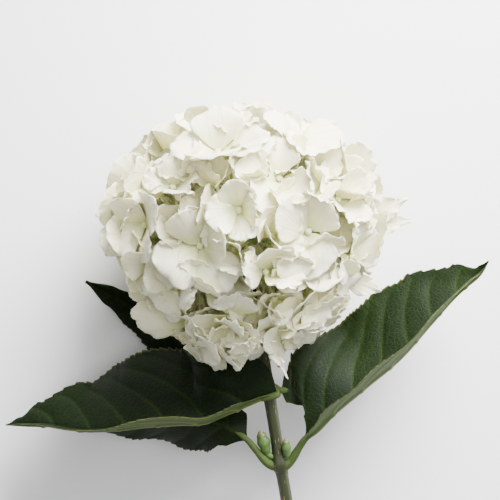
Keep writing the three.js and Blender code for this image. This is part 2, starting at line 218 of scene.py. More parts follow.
def side_ways(ways, reference):
    side = unit(np.cross(reference, ways))
    return side, np.cross(ways, side)


def tube(points, ways, radii, sides, reference=UP):
    """Closed tube of quads with a fan at each end. Each ring has one radius, or one for each side."""
    side, other = side_ways(ways, reference)
    angles = np.arange(sides) * 2 * np.pi / sides
    radii = np.broadcast_to(np.asarray(radii, float).reshape(len(points), -1), (len(points), sides))
    ring = side[:, None] * np.cos(angles)[:, None] + other[:, None] * np.sin(angles)[:, None]
    body = points[:, None] + ring * radii[..., None]
    index = np.arange(len(points) * sides).reshape(len(points), sides)
    across = np.roll(index, -1, axis=1)
    quads = np.stack([index[:-1], across[:-1], across[1:], index[1:]], -1).reshape(-1, 4)
    vertices = np.vstack([body.reshape(-1, 3), points[0], points[-1]])
    first, last = len(vertices) - 2, len(vertices) - 1
    fans = [[first, b, a] for a, b in zip(index[0], across[0])]
    fans += [[last, a, b] for a, b in zip(index[-1], across[-1])]
    return vertices, quads, fans


def add_tube(shape, points, ways, radii, sides, reference=UP, **marks):
    vertices, quads, fans = tube(points, ways, radii, sides, reference)
    start = shape.count
    shape.add(vertices, quads, **marks)
    shape.faces.extend([[start + k for k in fan] for fan in fans])


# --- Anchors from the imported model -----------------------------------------

def node_points(name):
    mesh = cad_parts[name].data
    flat = np.empty(len(mesh.vertices) * 3)
    mesh.vertices.foreach_get("co", flat)
    return flat.reshape(-1, 3) / MM


def stem_rings():
    """Centres and radii of the stem's rings, from the head to the cut end."""
    points = node_points("stem")
    axis = unit(points[points[:, 1].argmin()] - points[points[:, 1].argmax()])
    places = points @ axis
    order = places.argsort()
    points, places = points[order], places[order]
    breaks = np.flatnonzero(np.diff(places) > 0.2 * np.median(np.diff(places)[np.diff(places) > 0.3])) + 1
    rings = [ring for ring in np.split(points, breaks) if len(ring) > 6]
    centres = np.array([ring.mean(axis=0) for ring in rings])
    radii = [np.linalg.norm(ring - ring.mean(axis=0), axis=1).max() for ring in rings]
    return centres, np.array(radii)


ring_centres, ring_radii = stem_rings()
stem_line = Line(ring_centres)
stem_way = unit(ring_centres[-1] - ring_centres[0])
head_centre = ring_centres[0] - unit(ring_centres[1] - ring_centres[0]) * FORK_TO_CENTRE
lower_node = ring_centres[ring_radii.argmax()]
before_lower = ring_radii.argmax() - 5
upper_node = ring_centres[ring_radii[:before_lower].argmax()]
floret_nodes = sorted(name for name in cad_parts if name.startswith("floret_"))
ray_nodes = sorted(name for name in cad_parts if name.startswith("ray_"))
knobs = np.array([
    points[np.linalg.norm(points - head_centre, axis=1) > 27].mean(axis=0)
    for points in map(node_points, ray_nodes)
])


def egg_girth(y):
    return (1 + np.where(y > 0, HEAD_TAPER, LOWER_TAPER) * y) / (1 + HEAD_TAPER * WIDEST_AT)


def egg_point(ways, depth):
    """Places on the head's surface in the given directions, less a depth."""
    half = HEAD_HALF - np.asarray(depth)[..., None]
    return head_centre + ways * half * np.stack(
        [egg_girth(ways[..., 1]), np.ones_like(ways[..., 1]), egg_girth(ways[..., 1])], -1)


def egg_share(points):
    """How far out points are: 1 on the head's surface."""
    scaled = (points - head_centre) / HEAD_HALF
    height = scaled[..., 1] / np.maximum(np.linalg.norm(scaled, axis=-1), 1e-9)
    girth = egg_girth(height)
    return np.sqrt((scaled[..., 0] / girth) ** 2 + scaled[..., 1] ** 2 + (scaled[..., 2] / girth) ** 2)


# --- Materials ---------------------------------------------------------------

def linear(hex_colour):
    channels = [int(hex_colour[k:k + 2], 16) / 255 for k in (1, 3, 5)]
    return [c / 12.92 if c <= 0.04045 else ((c + 0.055) / 1.055) ** 2.4 for c in channels] + [1.0]


class Finish:
    """A procedural material: small helpers that add nodes and return sockets."""

    def __init__(self, name):
        self.material = bpy.data.materials.new(name)
        self.material.use_nodes = True
        self.tree = self.material.node_tree
        self.surface = self.tree.nodes["Principled BSDF"]

    def node(self, kind, inputs=None, **settings):
        node = self.tree.nodes.new(kind)
        for name, value in settings.items():
            setattr(node, name, value)
        for key, value in (inputs or {}).items():
            self.put(node.inputs[key], value)
        return node

    def put(self, socket, value):
        if isinstance(value, bpy.types.NodeSocket):
            self.tree.links.new(value, socket)
        else:
            socket.default_value = value

    def math(self, operation, a, b=0.0, clamp=False):
        node = self.node("ShaderNodeMath", {0: a, 1: b}, operation=operation, use_clamp=clamp)
        return node.outputs[0]

    def waves(self, value, count, stray, amount):
        """Sine waves along a value, led astray by a noise."""
        along, aside = self.math("MULTIPLY", value, count), self.math("MULTIPLY", stray, amount)
        return self.math("SINE", self.math("ADD", along, aside))

    def stretched(self, first, first_scale, second, second_scale):
        """A flat pattern place from two values."""
        return self.node("ShaderNodeCombineXYZ", {
            0: self.math("MULTIPLY", first, first_scale), 1: self.math("MULTIPLY", second, second_scale),
        }).outputs[0]

    def between(self, value, low, high):
        """Smooth step from 0 at low to 1 at high."""
        return self.node("ShaderNodeMapRange", {0: value, 1: low, 2: high},
                         interpolation_type="SMOOTHSTEP").outputs[0]

    def mix(self, factor, a, b, blend="MIX"):
        node = self.node("ShaderNodeMix", data_type="RGBA", blend_type=blend)
        for socket, value in zip((node.inputs[0], node.inputs[6], node.inputs[7]), (factor, a, b)):
            self.put(socket, linear(value) if isinstance(value, str) else value)
        return node.outputs[2]

    def marks(self, name):
        source = self.node("ShaderNodeAttribute", attribute_name=name)
        return self.node("ShaderNodeSeparateXYZ", {0: source.outputs["Vector"]}).outputs

    def place(self, scale=1.0):
        source = self.node("ShaderNodeTexCoord")
        return self.node("ShaderNodeVectorMath", {0: source.outputs["Object"], 1: (scale,) * 3},
                         operation="MULTIPLY").outputs[0]

    def noise(self, scale, detail=3.0, vector=None, rough=0.55):
        return self.node("ShaderNodeTexNoise", {
            "Vector": vector or self.place(), "Scale": scale, "Detail": detail, "Roughness": rough,
        }).outputs["Fac"]

    def bump(self, height, distance, strength=1.0, under=None):
        inputs = {"Height": height, "Distance": distance, "Strength": strength}
        if under:
            inputs["Normal"] = under
        return self.node("ShaderNodeBump", inputs).outputs[0]

    def finish(self, colour, roughness, normal=None, scatter=(1.0, 0.95, 0.6), **extra):
        self.put(self.surface.inputs["Base Color"], colour)
        self.put(self.surface.inputs["Roughness"], roughness)
        if normal:
            self.put(self.surface.inputs["Normal"], normal)
        self.put(self.surface.inputs["Subsurface Radius"], scatter)
        for name, value in extra.items():
            self.put(self.surface.inputs[name.replace("_", " ")], value)
        return self.material


def sepal_finish():
    """Thin white sepals: fan veins, a green-yellow claw, and a cream tint per floret that is partly random
    and partly painted shade, on the inner florets and on the side away from the key light.
    """
    f = Finish("sepal")
    _, along, kind = f.marks("petal")
    fan, tint_and_shade, tone = f.marks("veins")
    fine = f.waves(fan, 46.0, f.noise(60.0), 5.0)
    coarse = f.waves(fan, 15.0, f.noise(40.0), 3.0)
    both = f.math("ADD", f.math("MULTIPLY", fine, 0.4), f.math("MULTIPLY", coarse, 0.6))
    vein = f.between(both, 0.25, 1.0)
    white = f.mix(f.noise(90.0), "#faf6d3", "#f3eec4")
    # Cream tint: random per floret, plus painted shade that turns the inner florets and the side away from
    # the key light from white towards cream.
    cream = f.mix(f.between(tint_and_shade, 0.1, 1.0), white, "#e9e6c4")
    veined = f.mix(f.math("MULTIPLY", vein, 0.3), cream, "#d9dcc4")
    # A higher tint also lengthens the green claw, so the painted shade greens those florets' bases too.
    claw = f.between(f.math("ADD", along, f.math("MULTIPLY", tint_and_shade, -0.25)), 0.42, 0.0)
    greened = f.mix(f.math("MULTIPLY", claw, 0.75), veined, "#c3cc86")
    edge = f.between(f.math("ABSOLUTE", tone), 0.93, 1.0)
    rimmed = f.mix(f.math("MULTIPLY", edge, 0.35), greened, "#dcd9bf")
    stalked = f.mix(f.between(kind, 0.4, 0.6), rimmed, f.mix(f.noise(200.0), "#c9cf93", "#e6e5c4"))
    height = f.math("ADD", f.math("MULTIPLY", vein, 1.0), f.math("MULTIPLY", f.noise(500.0, 4.0), 0.5))
    return f.finish(
        stalked, f.math("ADD", 0.48, f.math("MULTIPLY", f.noise(120.0), 0.16)),
        f.bump(height, 0.00012, 0.7), Subsurface_Weight=0.35, Subsurface_Scale=0.0012,
        Sheen_Weight=0.08)


def leaf_finish(name, top, vein_tint, under):
    """Leaves: dark quilted top with pale veins, and a paler, duller underside with raised veins."""
    f = Finish(name)
    side = f.marks("leaf")[2]
    vein, rib, edge = f.marks("veins")
    mottled = f.mix(f.noise(55.0, 5.0), top, f.mix(0.5, top, "#081106"))
    patched = f.mix(f.between(f.noise(16.0, 2.0), 0.35, 0.75), mottled, f.mix(0.2, top, "#26370f"))
    mesh_veins = f.node("ShaderNodeTexVoronoi", {"Vector": f.place(), "Scale": 420.0},
                        feature="DISTANCE_TO_EDGE").outputs["Distance"]
    small = f.between(mesh_veins, 0.12, 0.0)
    fine = f.mix(f.math("MULTIPLY", small, 0.22), patched, vein_tint)
    ribbed = f.mix(f.math("MULTIPLY", f.math("MAXIMUM", vein, rib), 0.55), fine, vein_tint)
    upper = f.mix(f.math("MULTIPLY", edge, 0.4), ribbed, "#6d6a3c")
    pale = f.mix(f.noise(70.0, 4.0), under, f.mix(0.3, under, "#556a3c"))
    pale = f.mix(f.math("MULTIPLY", small, 0.3), pale, f.mix(0.45, under, "#4f6a42"))
    lower = f.mix(f.math("MULTIPLY", f.math("MAXIMUM", vein, rib), 0.6), pale, "#6c7a46")
    colour = f.mix(side, lower, upper)
    height = f.math("ADD", f.math("MULTIPLY", small, -0.6), f.math("MULTIPLY", f.noise(700.0, 3.0), 0.35))
    grain = f.math("ADD", 0.62, f.math("MULTIPLY", small, 0.12))
    rough = f.math("ADD", f.math("MULTIPLY", side, -0.12), grain)
    return f.finish(colour, rough, f.bump(height, 0.0003, 0.55),
                    Subsurface_Weight=0.06, Subsurface_Scale=0.0008, Specular_IOR_Level=0.1)


def stem_finish():
    """Green bark: darker above the node, olive below, with lenticels and fine length-wise streaks."""
    f = Finish("stem_bark")
    along, around, cut = f.marks("stem")
    streaks = f.noise(3.0, 4.0, f.stretched(around, 9.0, along, 6.0))
    flecks = f.stretched(around, 7.0, along, 42.0)
    spots = f.node("ShaderNodeTexVoronoi", {"Vector": flecks, "Scale": 1.0}).outputs["Distance"]
    lenticel = f.between(spots, 0.24, 0.1)
    olive = f.mix(streaks, "#4d502b", "#393d1f")
    green = f.mix(streaks, "#303617", "#21270f")
    body = f.mix(f.between(along, 0.66, 0.5), olive, green)
    flecked = f.mix(f.math("MULTIPLY", lenticel, 0.65), body, "#8d7f55")
    pith = f.mix(f.noise(260.0, 4.0), "#d9dfb4", "#b9c58c")
    colour = f.mix(cut, flecked, pith)
    height = f.math("ADD", f.math("MULTIPLY", streaks, 0.5), lenticel)
    return f.finish(colour, f.math("ADD", 0.42, f.math("MULTIPLY", streaks, 0.2)),
                    f.bump(height, 0.0003, 0.8), Subsurface_Weight=0.05, Subsurface_Scale=0.0008)


def bud_finish():
    """Bud scales: green, with browner tips and a fine grain."""
    f = Finish("bud_scales")
    along, _, seam = f.marks("stem")
    grain = f.noise(300.0, 4.0)
    green = f.mix(grain, "#52702f", "#385024")
    tipped = f.mix(f.between(along, 0.75, 1.0), green, "#66633a")
    colour = f.mix(f.math("MULTIPLY", seam, 0.6), tipped, "#2a3d1c")
    return f.finish(colour, 0.5, f.bump(grain, 0.0002, 0.6),
                    Subsurface_Weight=0.08, Subsurface_Scale=0.0008)


def ray_finish():
    """Pale green flesh of the rays inside the head."""
    f = Finish("ray_flesh")
    grain = f.noise(180.0, 4.0)
    colour = f.mix(grain, "#aebb78", "#86995a")
    return f.finish(colour, 0.5, f.bump(f.noise(900.0), 0.0002, 0.5), Subsurface_Weight=0.1,
                    Subsurface_Scale=0.001)


# --- Florets -----------------------------------------------------------------

def fibonacci_ways(count):
    k = np.arange(count)
    y = 1 - 2 * (k + 0.5) / count
    girth = np.sqrt(1 - y * y)
    angle = k * np.pi * (3 - math.sqrt(5))
    return np.stack([girth * np.cos(angle), y, girth * np.sin(angle)], axis=-1)


def cad_ways():
    """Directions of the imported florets, from the outer part of each one."""
    ways = []
    for name in floret_nodes:
        points = node_points(name) - head_centre
        distance = np.linalg.norm(points, axis=1)
        outer = points[distance > np.quantile(distance, 0.3)]
        ways.append(unit((outer.max(axis=0) + outer.min(axis=0)) / 2 / HEAD_HALF))
    return np.array(ways)


def spread_ways(taken, extra):
    """Adds directions, each as far as it can be from all the others."""
    candidates = fibonacci_ways(1600)
    candidates = candidates[candidates @ stem_way < STEM_CONE]
    chosen = list(taken)
    nearest = (candidates @ np.array(chosen).T).max(axis=1)
    for _ in range(extra):
        pick = candidates[nearest.argmin()]
        chosen.append(pick)
        nearest = np.maximum(nearest, candidates @ pick)
    return np.array(chosen)


def turned(ways, spins, tilts, tilt_angles):
    """Frames (side, other, out) of florets that face along ways, spun and tilted."""
    reference = np.where(np.abs(ways[:, 2:3]) > 0.9, [[0.0, 1.0, 0.0]], [[0.0, 0.0, 1.0]])
    side = unit(np.cross(reference, ways))
    other = np.cross(ways, side)
    lean = side * np.cos(tilt_angles)[:, None] + other * np.sin(tilt_angles)[:, None]
    out = unit(ways + lean * np.tan(tilts)[:, None])
    side = unit(np.cross(reference, out))
    other = np.cross(out, side)
    cos, sin = np.cos(spins)[:, None], np.sin(spins)[:, None]
    return side * cos + other * sin, other * cos - side * sin, out


def disc_grid(count):
    """A square grid pressed onto the unit disc."""
    line = np.linspace(-1, 1, count)
    y, x = np.meshgrid(line, line, indexing="ij")
    return x * np.sqrt(1 - y * y / 2), y * np.sqrt(1 - x * x / 2)


def sepal_outline(u, v, point, claw):
    """Sepal places (across, along) of disc places: a narrow claw, a broad blade and a slight point."""
    along = (v + 1) / 2
    narrow = claw + (1 - claw) * smooth(along, 0.0, 0.5)
    tip = point * np.exp(-((u / 0.3) ** 2)) * smooth(along, 0.7, 1.0)
    shoulder = 1 - 0.12 * smooth(along, 0.75, 1.0) * point / 0.08
    return u * narrow * shoulder, along + tip


def close_pairs(points, reach):
    """Index pairs of points closer than reach, found on a grid of cells."""
    cells = np.floor(points / reach).astype(np.int64)
    cells -= cells.min(axis=0) - 1
    ny, nz = cells[:, 1].max() + 2, cells[:, 2].max() + 2
    keys = (cells[:, 0] * ny + cells[:, 1]) * nz + cells[:, 2]
    order = np.argsort(keys, kind="stable")
    ordered = keys[order]
    own = np.arange(len(points))
    found = []
    steps = [(x, y, z) for x in (-1, 0, 1) for y in (-1, 0, 1) for z in (-1, 0, 1)]
    for x, y, z in steps[:14]:
        shifted = keys + (x * ny + y) * nz + z
        start = np.searchsorted(ordered, shifted, side="left")
        count = np.searchsorted(ordered, shifted, side="right") - start
        first = np.repeat(own, count)
        within = np.arange(count.sum()) - np.repeat(np.cumsum(count) - count, count)
        second = order[np.repeat(start, count) + within]
        if (x, y, z) == (0, 0, 0):
            keep = first < second
            first, second = first[keep], second[keep]
        near = ((points[first] - points[second]) ** 2).sum(axis=1) < reach * reach
        found.append((first[near], second[near]))
    return np.concatenate([pair[0] for pair in found]), np.concatenate([pair[1] for pair in found])


def best_turns(points, rest, turns, hold):
    """Turns that lay each rest shape on its points, held a little towards the given turns."""
    spread = np.einsum("sni,snj->sij", points, rest)
    weight = np.einsum("sni,sni->s", rest, rest)[:, None, None]
    u, _, vt = np.linalg.svd(spread + hold * weight * turns)
    flip = np.sign(np.linalg.det(u @ vt))
    u[:, :, 2] *= flip[:, None]
    return u @ vt


def grow(bases, turns, rest, floret_of, limits):
    """Grows the sepals from their bases until they crowd each other, the floor and the head's outline."""
    count, size = rest.shape[:2]
    sepal_of = np.repeat(np.arange(count), size)
    flower_of = np.repeat(floret_of, size)
    near_base = np.tile(np.linalg.norm(rest[0], axis=-1) < 0.38 * rest[0, :, 1].max(), count)
    places = bases[:, None] + START_SIZE * np.einsum("sij,snj->sni", turns, rest)
    for step in range(GROWTH_STEPS):
        size_now = START_SIZE + (1 - START_SIZE) * smooth((step + 1) / GROWTH_STEPS, 0.0, 0.8)
        scaled = rest * size_now
        now = best_turns(places - bases[:, None], scaled, turns, HOLD)
        target = bases[:, None] + np.einsum("sij,snj->sni", now, scaled)
        places += STIFFNESS * (target - places)
        flat = places.reshape(-1, 3)
        if step % 2 == 0:
            first, second = close_pairs(flat, REACH * 1.25)
            same_flower = flower_of[first] == flower_of[second]
            keep = sepal_of[first] != sepal_of[second]
            keep &= ~(same_flower & (near_base[first] | near_base[second]))
            first, second = first[keep], second[keep]
        gap = flat[first] - flat[second]
        distance = np.maximum(np.linalg.norm(gap, axis=1), 1e-6)
        reach = REACH * (0.45 + 0.55 * size_now)
        force = PUSH * np.maximum(reach - distance, 0) / distance
        move = gap * force[:, None]
        crowd = np.bincount(first, minlength=len(flat)) + np.bincount(second, minlength=len(flat))
        for k in range(3):
            shift = np.bincount(first, move[:, k], len(flat)) - np.bincount(second, move[:, k], len(flat))
            flat[:, k] += np.clip(shift / np.maximum(crowd, 1) ** 0.5, -1.5, 1.5)
        share = egg_share(flat)
        over = np.maximum(share / np.repeat(limits, size) - 1, 0)
        flat -= (flat - head_centre) * (0.6 * over / (1 + over))[:, None]
        flat[:, 2] = np.maximum(flat[:, 2], FLOOR_GAP)
        places = flat.reshape(count, size, 3)
    return places, target


def upsampler():
    """A matrix from the control grid to the fine grid through a polynomial fit."""
    def terms(grid):
        u, v = grid
        return np.stack([u.ravel() ** a * v.ravel() ** b
                         for a in range(FIT_DEGREE + 1) for b in range(FIT_DEGREE + 1)], axis=-1)

    coarse = np.meshgrid(*[np.linspace(-1, 1, CONTROL)] * 2, indexing="xy")
    fine = np.meshgrid(*[np.linspace(-1, 1, FINE)] * 2, indexing="xy")
    return terms(fine) @ np.linalg.pinv(terms(coarse))


def bead(shape, centre, side, other, out, tint_and_shade):
    """The closed true flower in the middle: a low knob with four lobes."""
    rows, sides = 9, 20
    angle = np.arange(sides) * 2 * np.pi / sides
    heights = np.linspace(0.02, 0.98, rows) * np.pi
    lobes = 1 + 0.09 * np.cos(4 * angle)[None] * np.sin(heights)[:, None]
    radial = BEAD_RADIUS * np.sin(heights)[:, None] * lobes
    rise = -np.cos(heights)[:, None] * BEAD_RADIUS * 0.85 * np.ones((1, sides))
    ring = side * np.cos(angle)[None, :, None] + other * np.sin(angle)[None, :, None]
    points = centre + ring * radial[..., None] + out * rise[..., None]
    index = np.arange(rows * sides).reshape(rows, sides)
    across = np.roll(index, -1, axis=1)
    quads = np.stack([index[:-1], across[:-1], across[1:], index[1:]], -1).reshape(-1, 4)
    start = shape.count
    vertices = points.reshape(-1, 3)
    shape.add(vertices, quads, petal=[0.0, 0.5, 1.0], veins=[0.0, tint_and_shade, 0.0])
    shape.faces.append((index[0][::-1] + start).tolist())
    shape.faces.append((index[-1] + start).tolist())


def florets():
    """Builds one piece for each packed floret, with the extra florets that are nearest to it."""
    outer_ways = cad_ways()
    outer = len(outer_ways)
    ways = spread_ways(outer_ways, EXTRA_FLORETS)
    total = len(ways)
    is_outer = np.arange(total) < outer
    depth = np.where(is_outer, rng.uniform(*OUTER_DEPTH, total), rng.uniform(*INNER_DEPTH, total))
    centres = egg_point(ways, depth)
    centres[:, 2] = np.maximum(centres[:, 2], 4.0)
    normals = unit((centres - head_centre) / HEAD_HALF**2)
    tilts = rng.uniform(0, math.radians(FLORET_TILT), total)
    spins, tilt_ways = rng.uniform(0, 2 * np.pi, total), rng.uniform(0, 2 * np.pi, total)
    side, other, out = turned(normals, spins, tilts, tilt_ways)

    sepals = np.repeat(np.arange(total), SEPALS_EACH)
    quarter = np.tile(np.arange(SEPALS_EACH), total)
    angle = quarter * np.pi / 2 + rng.normal(0, 0.13, len(sepals))
    heading = side[sepals] * np.cos(angle)[:, None] + other[sepals] * np.sin(angle)[:, None]
    outer_rise = rng.uniform(*OUTER_RISE, len(sepals))
    inner_rise = rng.uniform(*INNER_RISE, len(sepals))
    rise = np.radians(np.where(is_outer[sepals], outer_rise, inner_rise))
    rise = rise + np.radians(UPPER_PAIR_RISE) * (quarter % 2)
    along = heading * np.cos(rise)[:, None] + out[sepals] * np.sin(rise)[:, None]
    face = out[sepals] * np.cos(rise)[:, None] - heading * np.sin(rise)[:, None]
    turns = np.stack([np.cross(along, face), along, face], axis=-1)
    bases = centres[sepals] + heading * 1.3 + out[sepals] * (0.7 * (quarter % 2))[:, None]

    floret_size = np.where(is_outer, rng.uniform(*OUTER_LENGTH, total), rng.uniform(*INNER_LENGTH, total))
    length = floret_size[sepals] * rng.uniform(0.88, 1.1, len(sepals))
    width = length * rng.uniform(0.9, 1.18, len(sepals))
    point = rng.uniform(0.0, 0.08, len(sepals))
    claw = rng.uniform(0.4, 0.55, len(sepals))
    cup = rng.normal(0.05, 0.12, len(sepals))
    curl = rng.normal(-0.02, 0.1, len(sepals))

    def rest_shape(count):
        u, v = disc_grid(count)
        across, reach = sepal_outline(u[None], v[None], point[:, None, None], claw[:, None, None])
        x = across * width[:, None, None] / 2
        y = reach * length[:, None, None]
        z = (cup[:, None, None] * across**2 * width[:, None, None]
             + curl[:, None, None] * reach**2 * length[:, None, None])
        return np.stack([x, y, z], axis=-1).reshape(len(sepals), -1, 3), across, reach, u, v

    toothed = rng.random(len(sepals)) < TOOTHED_SHARE
    limits = rng.uniform(0.92, 1.06, len(sepals)) + 0.08 * (rng.random(len(sepals)) < 0.06)
    for floret, quarter_in_it, way, *form in STANDOUTS:
        s = SEPALS_EACH * floret + quarter_in_it
        forward = unit(np.array(way))
        front = unit(UP - forward * forward[2])
        turns[s] = np.stack([np.cross(forward, front), forward, front], axis=-1)
        length[s], width[s], cup[s], point[s] = form
        limits[s] = STANDOUT_LIMIT
    rest = rest_shape(CONTROL)[0]
    places, target = grow(bases, turns, rest, sepals, limits)
    fine = np.einsum("fc,sck->sfk", upsampler(), 0.8 * places + 0.2 * target)
    fine = fine.reshape(len(sepals), FINE, FINE, 3)
    _, across, reach, u, v = rest_shape(FINE)
    radius = np.sqrt(u * u + v * v)[None]
    round_way = np.arctan2(u, v)[None]
    waves = rng.integers(5, 10, len(sepals))[:, None, None]
    phase = rng.uniform(0, 2 * np.pi, (3, len(sepals), 1, 1))
    depth_of_wave = rng.uniform(0.3, 1.2, len(sepals))[:, None, None]
    ruffle = depth_of_wave * radius**4 * smooth(reach, 0.2, 0.6) * (
        np.sin(waves * round_way + phase[0]) + 0.5 * np.sin((waves * 2 + 1) * round_way + phase[1]))
    tips = (toothed[:, None, None] * 0.6) * np.abs(np.sin(round_way * 17 + phase[0])) * radius**10
    tips = tips * smooth(np.cos(round_way), -0.2, 0.8)
    outward = unit(fine - fine[:, FINE // 2:FINE // 2 + 1, FINE // 2:FINE // 2 + 1])
    fine = fine + outward * tips[..., None]
    normals = grid_normals(fine)
    fan = np.arctan2(across * width[:, None, None], (reach + 0.35) * length[:, None, None])
    crease = 0.16 * np.exp(-((across / 0.05) ** 2))
    crease = crease * smooth(reach, 0.05, 0.3) * (1 - smooth(reach, 0.75, 1.0))
    ribs = 0.09 * np.sin(fan * 26 + phase[2]) * smooth(reach, 0.1, 0.4)
    fine = fine + normals * (ruffle - crease + ribs)[..., None]
    fine[..., 2] = np.maximum(fine[..., 2], FLOOR_GAP)
    normals = grid_normals(fine)
    thin = SEPAL_THICKNESS * (1 - 0.45 * radius**2)[..., None] / 2
    top, under = fine + normals * thin, fine - normals * thin

    anchor = (ways @ outer_ways.T).argmax(axis=1)
    # Floret tints: random, plus painted shade: more on the inner, deeper florets and more on the -y side,
    # away from the key light.
    tints_and_shade = np.clip(rng.normal(0.28, 0.22, total) + np.where(is_outer, 0.0, 0.25) - 0.25 * ways[:, 1], 0, 1)
    faces = sheet_faces(FINE, FINE)
    for k, name in enumerate(floret_nodes):
        shape = Shape()
        for flower in np.flatnonzero(anchor == k):
            for s in np.flatnonzero(sepals == flower):
                tone = np.broadcast_to(radius[0], across[s].shape)
                petal = np.stack([across[s], reach[s], np.zeros_like(reach[s])], -1).reshape(-1, 3)
                vein = np.stack([fan[s], np.full_like(fan[s], tints_and_shade[flower]), tone], -1).reshape(-1, 3)
                shape.add(np.concatenate([top[s].reshape(-1, 3), under[s].reshape(-1, 3)]), faces,
                          petal=np.concatenate([petal, petal]), veins=np.concatenate([vein, vein]))
            middle = centres[flower] + out[flower] * (BEAD_RADIUS * 0.8)
            bead(shape, middle, side[flower], other[flower], out[flower], tints_and_shade[flower])
            knob = knobs[np.linalg.norm(knobs - centres[flower], axis=1).argmin()]
            bend = centres[flower] - out[flower] * 9
            path = Line([knob, knob * 0.5 + bend * 0.5, bend, centres[flower]], 40)
            shares = np.linspace(0.0, 1.0, 9)
            radii = PEDICEL_RADIUS * (1 + 0.5 * shares**6)
            add_tube(shape, path.at(shares), path.way(shares), radii, 8,
                     reference=side[flower], petal=[0.0, 0.2, 1.0], veins=[0.0, 1.0, 0.0])
        piece = shape.build(name + "_sepals", sepal_material)
        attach(piece, "root")
        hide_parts(name)


# --- Leaves --------------------------------------------------------------------

class Leaf:
    """A blade folded along its midrib. Folds are the angles of each half above the plane that lies
    along the midrib and level with the floor; curl bends a half upwards."""

    def __init__(self, name, foot, midrib, far_side, near_side, far, near,
                 veins=7, rows=260, columns=33):
        self.name, self.foot, self.midrib = name, foot, Line(midrib)
        self.far_side, self.near_side, self.far, self.near = far_side, near_side, far, near
        self.veins, self.rows, self.columns = veins, rows, columns

    def surface(self, u, v, extra=0.0):
        """Points of the blade at shares u of the midrib and v from near edge, -1, to far edge, 1."""
        tangent, middle = self.midrib.way(u), self.midrib.at(u)
        across = unit(np.cross(tangent, UP)) * self.far_side
        raised = np.cross(across, tangent) * self.far_side
        near = v < 0
        width = np.where(near, self.near["width"](u), self.far["width"](u))
        fold = np.radians(np.where(near, self.near["fold"](u), self.far["fold"](u)))
        curl = np.where(near, self.near["curl"], self.far["curl"])
        flat = across * np.where(near, self.near_side, 1)[..., None]
        share = np.abs(v)
        reach = width * share + extra
        outward = flat * np.cos(fold)[..., None] + raised * np.sin(fold)[..., None]
        inward = raised * np.cos(fold)[..., None] - flat * np.sin(fold)[..., None]
        return middle + outward * reach[..., None] + inward * (curl * width * share * share)[..., None]

    def build(self, material):
        lines = np.linspace(0, 1, self.rows), np.linspace(-1, 1, 2 * self.columns + 1)
        u, v = np.meshgrid(*lines, indexing="ij")
        share = np.abs(v)
        width = np.where(v < 0, self.near["width"](u), self.far["width"](u))
        # The secondary veins leave the midrib and arc forward towards the edge.
        phase = u * self.veins - (1.1 * share + 1.6 * share**2.2) * width / 45 + 0.25 * (v > 0)
        nearest = phase - np.round(phase)
        fade = smooth(u, 0.03, 0.15) * (1 - smooth(u, 0.93, 1.0))
        vein = np.exp(-((nearest / 0.055) ** 2)) * fade * (1 - 0.65 * share)
        rib = np.exp(-((share * width / 1.1) ** 2)) * (1 - smooth(u, 0.9, 1.0))
        teeth = self.midrib.length / 4.6
        tooth = (u * teeth + 0.15 * np.sin(u * 37)) % 1.0
        spike = np.where(tooth < 0.72, tooth / 0.72, (1 - tooth) / 0.28) * 1.7
        spike = spike * share**14 * smooth(width, 6, 20)
        forward = spike * 0.9 / self.midrib.length
        points = self.surface(np.clip(u + forward, 0, 1), v, spike)
        normals = grid_normals(points) * self.far_side
        quilt = 0.9 * (1 - np.exp(-((nearest / 0.2) ** 2))) * share**0.5 * (1 - share**5) * fade
        wave = 0.9 * np.sin(u * 21 + 3 * (v > 0)) * share**3 * smooth(width, 4, 25)
        low = 0.5 * np.sin(u * 8 + v * 2.0)
        points = points + normals * (quilt - 0.55 * rib - 0.25 * vein + wave + low * share)[..., None]
        points[..., 2] = np.maximum(points[..., 2], 0.7)
        normals = grid_normals(points) * self.far_side
        thick = LEAF_THICKNESS / 2
        top = points + normals * thick
        under = points - normals * (thick + 0.9 * rib + 0.35 * vein)[..., None]
        first, second = (top, under) if self.far_side > 0 else (under, top)
        shape = Shape()
        marks = np.stack([u, v, np.ones_like(u)], -1).reshape(-1, 3)
        below = marks * [1, 1, 0]
        edge = smooth(share, 0.97, 1.0)
        veins = np.stack([vein, rib * (1 - 0.5 * u), edge], -1).reshape(-1, 3)
        sides = (marks, below) if self.far_side > 0 else (below, marks)
        shape.add(np.concatenate([first.reshape(-1, 3), second.reshape(-1, 3)]),
                  sheet_faces(self.rows, 2 * self.columns + 1),
                  leaf=np.concatenate(sides), veins=np.concatenate([veins, veins]))
        self.petiole(shape)
        piece = shape.build(self.name + "_blade", material)
        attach(piece, "root")
        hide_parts(self.name)

    def petiole(self, shape):
        start, inside = self.midrib.at(0.0), self.midrib.at(0.07)
        out = start - self.foot
        out = unit(out - stem_way * (out @ stem_way))
        root = self.foot + out * 1.5 + stem_way * 2.0
        reach = np.linalg.norm(start - root)
        bend = root + unit(out - stem_way * 0.55) * reach * 0.3
        path = Line([root, bend, start, inside], 120)
        shares = np.linspace(0, 1, 28)
        radii = eased([[0, 4.4], [0.22, 3.0], [0.5, 2.3], [0.85, 1.9], [1, 0.5]])(shares)
        angles = np.arange(16) * 2 * np.pi / 16
        groove = 1 - 0.16 * np.maximum(np.cos(angles), 0) ** 4
        add_tube(shape, path.at(shares), path.way(shares), radii[:, None] * groove[None], 16,
                 leaf=[0.0, 0.0, 0.5], veins=[0.0, 0.7, 0.0])


def half(width, fold, curl):
    return {"width": eased(width), "fold": eased(fold), "curl": curl}


